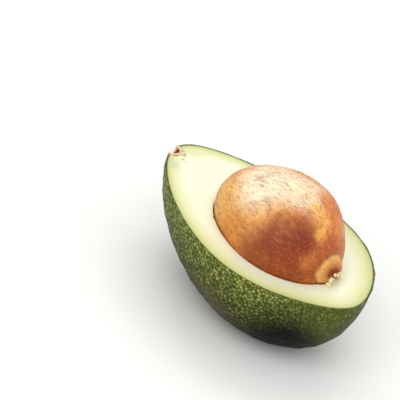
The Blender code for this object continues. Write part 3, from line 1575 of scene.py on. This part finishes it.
    def make(self) -> bpy.types.Object:
        """Models the seed: an even ball shaped to the outline, then dented and wrinkled a little.

        Returns:
            The seed.
        """
        seed = quad_ball("seed_whole", 32, 3)
        self.outline().wrap(seed)
        points = points_of(seed)
        dents = sum(wave.over(points) for wave in self.waves) + self.crease(points)
        from_dent = np.linalg.norm(points - np.array(self.dent), axis=1)
        dents -= self.dent_depth * smooth_step(from_dent, self.dent_reach, self.dent_core)
        normals = np.array([vertex.normal for vertex in seed.data.vertices])
        points = points + normals * dents[:, None]
        radius = np.linalg.norm(points[:, 1:], axis=1)
        heart = smooth_step(radius, self.scar_radius * 0.95, self.nipple_radius * 0.8)
        heart *= points[:, 0] > 0
        rag = self.nipple_waves.over(points) * heart
        points += heart[:, None] * np.array(self.nipple_lean)
        points[:, 0] += rag
        move_points(seed, points)
        seed.data.transform(self.lie())
        turn_outwards(seed)
        shade(seed, 60)
        return seed

    def crease(self, points: np.ndarray) -> np.ndarray:
        """Works out the short curved crease on the seed's front.

        Args:
            points: the seed's points in its own frame.

        Returns:
            How far each point is raised: a groove with a low ridge above it.
        """
        path = np.array(self.crease_path)
        steps = np.linspace(0, len(path) - 1, 60)
        path = np.column_stack([np.interp(steps, np.arange(len(path)), path[:, i]) for i in range(3)])
        felt = 12 * MM  # from the crease's middle, past which nothing is raised
        fading = 12  # steps from each end over which it fades
        raised = np.zeros(len(points))
        near = np.linalg.norm(points - path.mean(axis=0), axis=1) < felt
        offsets = points[near][:, None, :] - path[None, :, :]
        distances = np.linalg.norm(offsets, axis=2)
        nearest = distances.argmin(axis=1)
        distance = distances.min(axis=1)
        above = np.take_along_axis(offsets[:, :, 2], nearest[:, None], axis=1)[:, 0]
        fade = np.minimum(1, np.minimum(nearest, len(path) - 1 - nearest) / fading)
        groove = -self.crease_depth * np.exp(-((distance / self.crease_width) ** 2))
        ridge = self.ridge_height * np.exp(-(((distance - self.ridge_place) / self.ridge_width) ** 2))
        ridge *= above > 0
        raised[near] = (groove + ridge) * fade
        return raised


@dataclass
class StemRemnant:
    """The torn corky half-bowl that lines the stem pit, with a ragged lip."""

    wall: float = 1.0 * MM
    lip: float = 0.5 * MM
    lip_narrowing: float = 0.15 * MM
    lip_reach: float = 1.2 * MM  # how far into the pit the lip's colour and raggedness go
    cut_pale: float = 0.1 * MM  # how far below the cut face it is as pale as the lip
    cut_reach: float = 0.9 * MM  # how far below the cut face that paleness has gone
    gap: float = 0.05 * MM
    torn: Relief = Relief(0.35 * MM, 0.9 * MM, 3.0)
    torn_lip: Relief = Relief(0.3 * MM, 2.0 * MM, 8.0)
    top_height: float = 0.45 * MM
    top_reach: float = 0.6 * MM
    top_waves: Relief = Relief(1.0, 1.6 * MM, 1.0)  # a share of the top's height

    def make(self, fruit: Fruit) -> bpy.types.Object:
        """Models the remnant: a filled section spun half round, then roughened.

        Args:
            fruit: whose pit it lines.

        Returns:
            The remnant.
        """
        deselect()
        bpy.ops.mesh.primitive_circle_add(vertices=28, radius=1.0)
        remnant = bpy.context.object
        remnant.name = "torn_stem_end"
        move_points(remnant, self.section(fruit, len(remnant.data.vertices)))
        bpy.ops.object.mode_set(mode="EDIT")
        bpy.ops.mesh.select_all(action="SELECT")
        bpy.ops.mesh.edge_face_add()
        bpy.ops.mesh.spin(steps=40, angle=-math.pi, center=(0.0, 0.0, 0.0), axis=(1.0, 0.0, 0.0))
        bpy.ops.object.mode_set(mode="OBJECT")
        merge_doubles(remnant, 5e-6)
        turn_outwards(remnant)
        points = points_of(remnant)
        out = smooth_step(points[:, 0], self.lip_reach, -self.lip)
        by_cut = smooth_step(points[:, 2], -self.cut_reach, -self.cut_pale)
        store(remnant, "lip", np.maximum(out, by_cut))
        points[:, 0] -= self.torn.over(points) * (0.3 + out) + self.torn_lip.over(points) * out
        top = smooth_step(points[:, 2], -self.top_reach, 0.0)
        points[:, 2] += self.top_height * top * (0.5 + self.top_waves.over(points))
        move_points(remnant, points)
        remnant.data.transform(fruit.pit_place())
        shade(remnant, 50)
        return remnant

    def section(self, fruit: Fruit, count: int) -> np.ndarray:
        """Draws the remnant's cross-section at the -Y side, as a closed chain of points.

        Args:
            fruit: whose pit it lines.
            count: how many points.

        Returns:
            Rows of x, y, z.
        """
        radius, depth = fruit.pit_radius - self.gap, fruit.pit_depth - self.gap
        angles = np.linspace(0, math.pi / 2, 9)
        outer = np.column_stack([depth * np.cos(angles), radius * np.sin(angles)])
        inner = np.column_stack([
            (depth - self.wall) * np.cos(angles),
            (radius - self.wall) * np.sin(angles),
        ])
        lip = [
            (-self.lip, radius - self.lip_narrowing),
            (-self.lip, radius - self.wall + self.lip_narrowing),
        ]
        corners = np.concatenate([outer, lip, inner[::-1]])
        run = np.concatenate([[0.0], np.cumsum(np.linalg.norm(np.diff(corners, axis=0), axis=1))])
        wanted = np.linspace(0, run[-1], count)
        x = np.interp(wanted, run, corners[:, 0])
        y = -np.interp(wanted, run, corners[:, 1])
        return np.column_stack([x, y, np.zeros(count)])


@dataclass
class Crumbs:
    """Small ragged lumps along the edge of the hollow, where the knife tore the flesh beside the scar.

    Each path point is x, y and the height above the cut face, from under the scar to beside the seed.
    """

    smallest: float = 0.3 * MM
    largest: float = 0.75 * MM
    scatter: float = 0.35 * MM
    lowest: float = 0.1 * MM
    count: int = 36
    seed: int = 5
    mesh_size: float = 0.09 * MM
    waves: Relief = Relief(0.06 * MM, 0.5 * MM, 9.0)
    stain: float = 0.75 * MM  # how far from the seed they count, so that its stain leaves most of them pale
    stain_least: float = 0.25 * MM
    stain_waves: Relief = Relief(0.5 * MM, 1.4 * MM, 4.0)
    path: tuple[tuple[float, float, float], ...] = (
        (36.3 * MM, -1.0 * MM, 0.3 * MM),
        (36.6 * MM, -0.9 * MM, 2.0 * MM),
        (37.0 * MM, -0.7 * MM, 5.0 * MM),
        (37.1 * MM, 0.7 * MM, 6.2 * MM),
        (36.8 * MM, 2.2 * MM, 5.6 * MM),
        (36.1 * MM, 4.0 * MM, 2.6 * MM),
        (34.6 * MM, 7.0 * MM, 0.2 * MM),
    )

    def make(self, name: str, fruit: Fruit) -> bpy.types.Object:
        """Models the crumbs as one piece.

        Args:
            name: the object's name.
            fruit: on whose cut face they lie.

        Returns:
            The crumbs.
        """
        random = np.random.default_rng(self.seed)
        path = np.array(self.path)
        steps = random.uniform(0, len(path) - 1, self.count)
        places = np.column_stack([np.interp(steps, np.arange(len(path)), path[:, i]) for i in (0, 1, 2)])
        places += random.normal(0, self.scatter, places.shape)
        places[:, 2] = fruit.cut_z + np.maximum(places[:, 2], self.lowest)
        crumbs = []
        for i, place in enumerate(places):
            deselect()
            bpy.ops.mesh.primitive_ico_sphere_add(subdivisions=4, radius=1.0)
            crumb = bpy.context.object
            size = random.uniform(self.smallest, self.largest)
            points = points_of(crumb)
            rough = 1 + 0.35 * lumps(points, 0.9, 7.0 * i) + 0.1 * lumps(points, 0.4, 3.0 * i)
            stretch = [random.uniform(*ends) for ends in ((0.8, 1.6), (0.6, 1.1), (0.5, 1.0))]
            points *= rough[:, None] * size * np.array(stretch)
            points = points @ np.array(Matrix.Rotation(random.uniform(0, math.pi), 3, "Z"))
            move_points(crumb, points + place)
            crumbs.append(crumb)
        heap = join(name, *crumbs)
        merged = heap.modifiers.new("grown_together", "REMESH")
        merged.mode = "VOXEL"
        merged.voxel_size = self.mesh_size
        bpy.ops.object.modifier_apply(modifier=merged.name)
        points = points_of(heap)
        points += self.waves.over(points)[:, None]
        move_points(heap, points)
        store(heap, "from_peel", np.full(len(points), FAR))
        store(heap, "from_seed", np.maximum(self.stain + self.stain_waves.over(points), self.stain_least))
        turn_outwards(heap)
        shade(heap, 70)
        return heap


# ----------------------------------------------------------------------------------------------- studio


@dataclass(frozen=True)
class SoftLight:
    """A square soft light that faces a point."""

    name: str
    direction: tuple[float, float, float]
    distance: float
    size: float
    power: float

    def hang(self, target: Vector) -> None:
        """Makes the light.

        Args:
            target: the point that it faces.
        """
        data = bpy.data.lights.new(self.name, "AREA")
        data.shape = "SQUARE"
        data.size = self.size
        data.energy = self.power
        lamp = bpy.data.objects.new(self.name, data)
        away = Vector(self.direction).normalized()
        lamp.location = target + away * self.distance
        lamp.rotation_euler = away.to_track_quat("Z", "Y").to_euler()
        bpy.context.scene.collection.objects.link(lamp)


@dataclass
class Studio:
    """A pale floor, soft light and the camera."""

    back: Vector = field(default_factory=lambda: Vector((0.5215, -0.6757, 0.5211)))
    upward: Vector = field(default_factory=lambda: Vector((-0.5877, 0.1583, 0.7934)))
    distance: float = 1.887
    lens: float = 469.2
    right_shift: float = -0.02388
    up_shift: float = 0.00930
    floor_size: float = 6.0
    floor_drop: float = 0.05 * MM
    floor_colour: str = "#F2F2F0"
    air: float = 0.80
    lights: tuple[SoftLight, ...] = (
        SoftLight("overhead", (-0.50, 0.40, 0.77), 0.9, 0.72, 2.3),
        SoftLight("front", (0.25, -0.72, 0.65), 1.2, 1.0, 6.5),
    )

    def build(self, aim: Vector) -> None:
        """Makes all of it.

        Args:
            aim: the middle of the cut face.
        """
        self.lay_floor()
        for light in self.lights:
            light.hang(aim)
        self.light_the_air()
        self.set_camera(aim)

    def lay_floor(self) -> None:
        """Lays the floor just under the fruit."""
        deselect()
        bpy.ops.mesh.primitive_plane_add(size=self.floor_size, location=(0.0, 0.0, -self.floor_drop))
        floor = bpy.context.object
        floor.name = "floor"
        bpy.ops.object.transform_apply(location=True)
        material = bpy.data.materials.new("pale_floor")
        material.use_nodes = True
        shader = material.node_tree.nodes["Principled BSDF"]
        shader.inputs["Base Color"].default_value = srgb(self.floor_colour)
        shader.inputs["Roughness"].default_value = 0.9
        shader.inputs["Specular IOR Level"].default_value = 0.1
        floor.data.materials.append(material)

    def light_the_air(self) -> None:
        """Sets an even white surrounding light."""
        world = bpy.data.worlds.new("white_room")
        world.use_nodes = True
        background = world.node_tree.nodes["Background"]
        background.inputs["Color"].default_value = (1.0, 1.0, 1.0, 1.0)
        background.inputs["Strength"].default_value = self.air
        bpy.context.scene.world = world

    def set_camera(self, aim: Vector) -> None:
        """Places the camera, rolled so that the stem end is up.

        Args:
            aim: the middle of the cut face.
        """
        right = self.upward.cross(self.back).normalized()
        upward = self.back.cross(right).normalized()
        data = bpy.data.cameras.new("camera")
        data.lens = self.lens
        data.clip_start = 0.1
        data.clip_end = 20.0
        camera = bpy.data.objects.new("camera", data)
        target = aim + right * self.right_shift + upward * self.up_shift
        turn = Matrix((right, upward, self.back.normalized())).transposed().to_4x4()
        camera.matrix_world = Matrix.Translation(target + self.back.normalized() * self.distance) @ turn
        bpy.context.scene.collection.objects.link(camera)
        bpy.context.scene.camera = camera


# ------------------------------------------------------------------------------------------------- main


def dress(piece: bpy.types.Object, material: bpy.types.Material, slot: Slot, *nodes: str) -> None:
    """Gives a finished piece its material, hangs it under the root and hides the CAD nodes that it stands
    for.

    Args:
        piece: the finished mesh object.
        material: its material.
        slot: the record's material slot; not used.
        nodes: the CAD nodes that it stands for.
    """
    piece.data.materials.clear()
    piece.data.materials.append(material)
    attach(piece, "root")
    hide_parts(*nodes)
    LOG.info("%s: %d faces", piece.name, len(piece.data.polygons))


def seed_finish(seed: Seed) -> SeedCoat:
    """The seed's finish, with its patches in the seed's own frame; the two palest are a painted highlight.

    Args:
        seed: the seed, in its place.

    Returns:
        The finish.
    """
    patches = (
        # Painted highlight: the first two patches pale the top of the seed, over some of the coat's own paler
        # tan.
        Patch("#FFF2D0", (-5 * MM, -8 * MM, 18 * MM), 6 * MM, 17 * MM, 0.92),
        Patch("#FCE8C2", (9 * MM, -2 * MM, 21 * MM), 5 * MM, 13 * MM, 0.85),
        Patch("#F2BE66", (-16 * MM, -15 * MM, 4 * MM), 4 * MM, 14 * MM, 0.7),
        Patch("#E08E34", (-5 * MM, -20 * MM, -1 * MM), 3 * MM, 12 * MM, 0.7),
        Patch("#8A3A0E", (12 * MM, -19 * MM, -1 * MM), 4 * MM, 14 * MM, 0.85),
        Patch("#842A08", (16 * MM, -16 * MM, 8 * MM), 5 * MM, 13 * MM, 0.85),
        Patch("#AC4A18", (25 * MM, -9 * MM, 4 * MM), 5 * MM, 14 * MM, 0.85),
        Patch("#C25A20", (24 * MM, 4 * MM, 8 * MM), 3 * MM, 10 * MM, 0.75),
        Patch("#C05E28", (15 * MM, -10 * MM, 16 * MM), 1.5 * MM, 6 * MM, 0.6),
        Patch("#7E2206", (19.5 * MM, -11 * MM, 12 * MM), 1.5 * MM, 8.5 * MM, 0.85),
        Patch("#761C04", (20.5 * MM, -13.5 * MM, 6 * MM), 1.5 * MM, 9 * MM, 0.85),
        Patch("#8E330E", (21 * MM, -14.5 * MM, 0.5 * MM), 4 * MM, 11 * MM, 0.8),
        Patch("#EC7A2E", (17 * MM, 6.5 * MM, 18 * MM), 4 * MM, 11 * MM, 0.8),
        Patch("#F09446", (22 * MM, 5 * MM, 14 * MM), 3 * MM, 9 * MM, 0.6),
        Patch("#FFC468", (16 * MM, -3.0 * MM, 19 * MM), 1.2 * MM, 4.4 * MM, 0.9),
        Patch("#FFC060", (20.0 * MM, -2.0 * MM, 16.6 * MM), 1.4 * MM, 4.4 * MM, 0.9),
        Patch("#F8AE50", (23.0 * MM, -4.6 * MM, 12.8 * MM), 1.2 * MM, 4.2 * MM, 0.85),
        Patch("#BC4E2C", (25.3 * MM, -1.5 * MM, 9.8 * MM), 1.6 * MM, 5.4 * MM, 0.7),
        Patch("#D87A34", (24.4 * MM, -10 * MM, 3.4 * MM), 0.6 * MM, 5.0 * MM, 0.6),
        Patch("#D2783A", (26 * MM, -8.4 * MM, 6.2 * MM), 0.4 * MM, 3.4 * MM, 0.5),
    )
    lean = (seed.lie() @ Matrix.Diagonal((1, 1, seed.width / seed.height, 1))).to_euler("XYZ")
    return SeedCoat(
        middle=tuple(seed.middle),
        lean=tuple(lean),
        scar_radius=seed.scar_radius,
        patches=patches,
    )


def flesh_finish(fruit: Fruit) -> CutFlesh:
    """The flesh's finish, with the marks round the stem pit and at the nick.

    Args:
        fruit: whose cut face has them.

    Returns:
        The finish.
    """
    top = fruit.cut_z
    patches = (
        Patch("#BFCB9C", (-41.5 * MM, -12.0 * MM, top), 1.0 * MM, 5.0 * MM, 0.6),
        Patch("#D9D5A6", (-44.5 * MM, 2.5 * MM, top), 1.0 * MM, 4.5 * MM, 0.5),
        Patch("#9C9455", (-47.2 * MM, -1.6 * MM, top), 0.2 * MM, 0.9 * MM, 0.8),
        Patch("#9C9455", (-46.2 * MM, -1.4 * MM, top), 0.1 * MM, 0.8 * MM, 0.7),
        Patch("#8F8648", (-44.9 * MM, -2.2 * MM, top), 0.2 * MM, 0.9 * MM, 0.8),
        Patch("#8F8648", (-44.2 * MM, -3.2 * MM, top), 0.2 * MM, 0.9 * MM, 0.8),
        Patch("#A39A5C", (-42.4 * MM, -5.2 * MM, top), 0.2 * MM, 0.9 * MM, 0.7),
        Patch("#A8A468", (-40.2 * MM, -5.4 * MM, top), 0.2 * MM, 0.8 * MM, 0.6),
        Patch("#5E4220", (*fruit.nick, top), 0.3 * MM, 1.1 * MM, 0.9),
    )
    return CutFlesh(patches=patches)


def peel_finish() -> PebbledPeel:
    """The peel's finish, with its darker and lighter patches, three of which are painted shade and painted
    light.

    Returns:
        The finish.
    """
    patches = (
        Patch("#5A5540", (10 * MM, -27 * MM, 12 * MM), 3 * MM, 15 * MM, 0.5),
        # painted shade on the belly that faces away from the light
        Patch("#14140A", (38 * MM, -21 * MM, 20 * MM), 4 * MM, 17 * MM, 0.5),
        # painted shade on the lower belly, partly the peel's own near-black colour there
        Patch("#040403", (38 * MM, -15 * MM, 6 * MM), 9 * MM, 20 * MM, 0.97),
        # painted light: a lighter olive pool near the blossom end
        Patch("#55552A", (47 * MM, -6 * MM, 24 * MM), 1 * MM, 12 * MM, 0.4),
    )
    return PebbledPeel(patches=patches)


def main() -> None:
    """Builds the pieces in order, then the studio."""
    logging.basicConfig(level=logging.INFO, format="%(name)s: %(message)s")
    fruit = Fruit()
    seed = Seed()
    seed.place(fruit)
    dress(fruit.make_peel(Pores()), peel_finish().build(), Slot.SKIN, "fruit_half")
    flesh = fruit.make_flesh(seed)
    subtract(flesh, fruit.pit_cutter())
    shade(flesh, 40)
    dress(flesh, flesh_finish(fruit).build(), Slot.FLESH, "fruit_half")
    torn = CutFlesh(name="torn_flesh", butter="#F0E0AC", pale="#F0E0AC")
    dress(Crumbs().make("flesh_crumbs", fruit), torn.build(), Slot.FLESH, "fruit_half")
    dress(seed.make(), seed_finish(seed).build(), Slot.SEED_COAT, "seed")
    dress(StemRemnant().make(fruit), TornCork().build(), Slot.CORK, "stem_remnant")
    Studio().build(Vector((fruit.stem_x + fruit.length / 2, 0.0, fruit.cut_z)))
    bpy.context.scene.view_settings.view_transform = "Standard"


if __name__ == "__main__":
    main()
